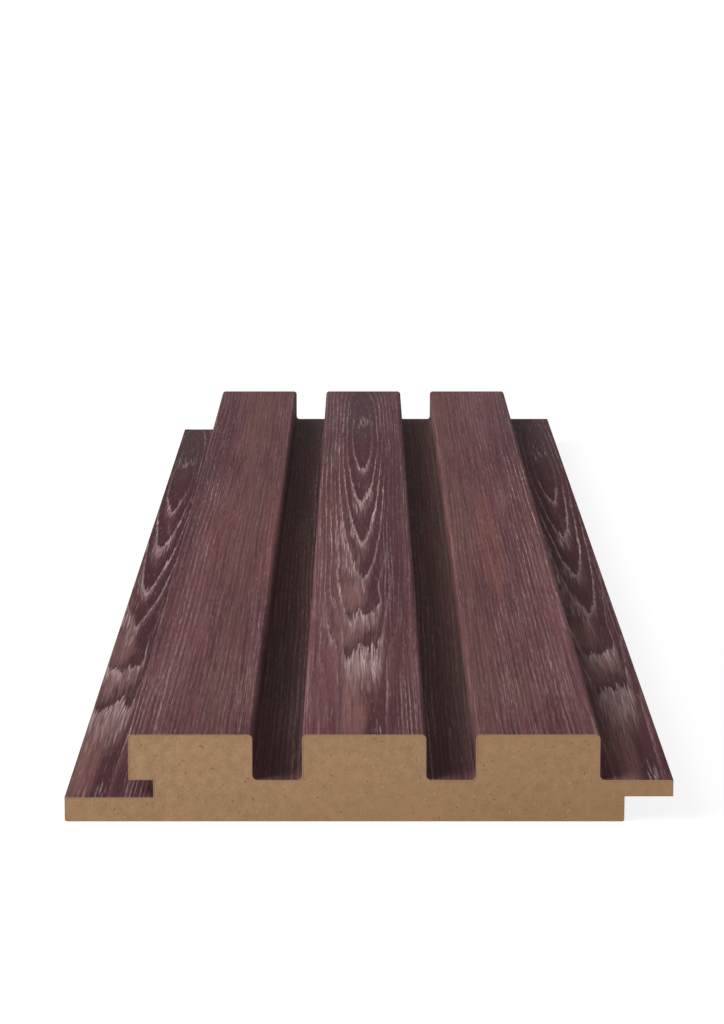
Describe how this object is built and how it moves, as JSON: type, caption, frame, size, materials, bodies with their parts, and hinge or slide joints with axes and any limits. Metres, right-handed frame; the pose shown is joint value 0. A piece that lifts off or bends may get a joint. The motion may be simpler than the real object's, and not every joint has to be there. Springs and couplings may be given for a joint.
{
  "type": "slatted mdf wall panel",
  "caption": "Short length of slatted MDF wall panel with raised slats, grooves between them, a slotted ledge on one edge, a tongue on the other and a wood-print film over its face.",
  "frame": {"origin": "on the back face, under the middle slat's centreline, at half the length", "axes": "+X across the slats towards the tongue, +Y along the slats, +Z out from the wall"},
  "size_m": [0.1227, 0.5, 0.018],
  "materials": {
    "mdf": "bare sawn fibreboard",
    "film": "matt wood-print film"
  },
  "bodies": {
    "root": {"mdf_core": "mdf", "decor_film": "film"}
  },
  "joints": []
}
